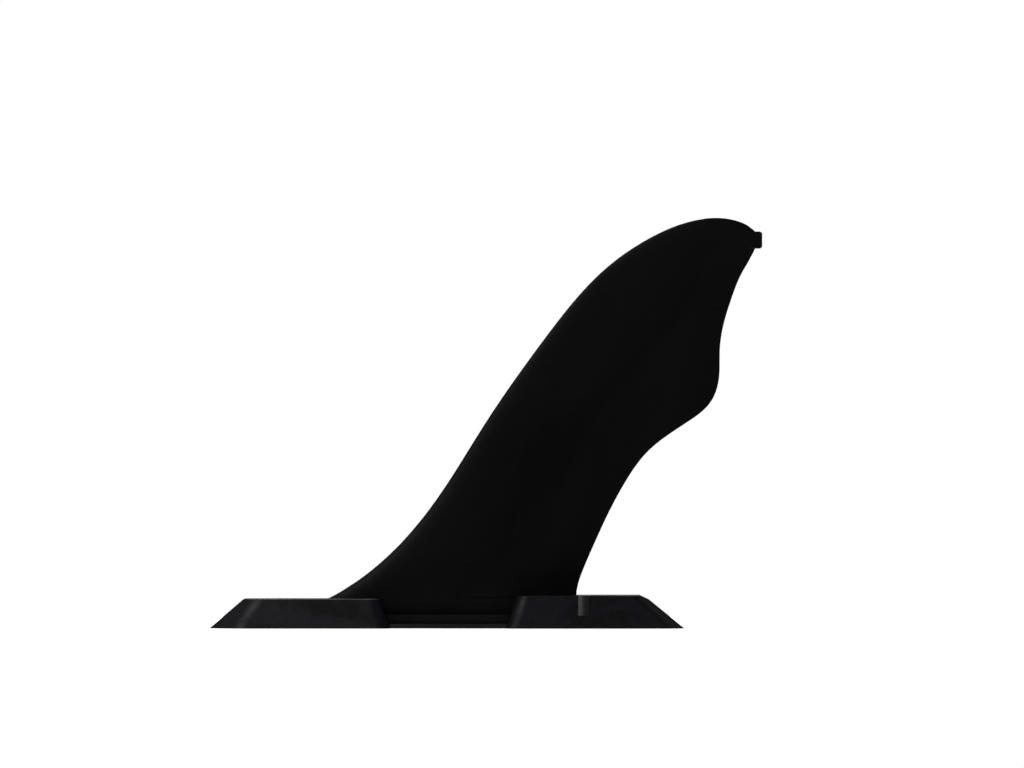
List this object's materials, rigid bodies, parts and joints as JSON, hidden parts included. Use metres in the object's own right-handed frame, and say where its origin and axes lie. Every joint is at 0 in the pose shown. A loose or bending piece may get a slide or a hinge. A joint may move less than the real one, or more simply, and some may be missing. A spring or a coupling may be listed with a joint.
{
  "type": "paddleboard fin with slide-in base",
  "caption": "Black swept paddleboard fin locked in its low slide-in base by a small clip across the rear block.",
  "frame": {"origin": "centre of the base's flat underside, where it is bonded to the board", "axes": "+X from the nose to the tail, +Y to the side, +Z from the board's face up to the blade's tip"},
  "size_m": [0.31, 0.058, 0.2301],
  "materials": {
    "fin_plastic": "satin black moulded nylon",
    "base_plastic": "satin black moulded plastic",
    "clip_plastic": "smooth black moulded plastic"
  },
  "bodies": {
    "root": {"fin": "fin_plastic", "fin_base": "base_plastic", "lock_clip": "clip_plastic"}
  },
  "joints": []
}
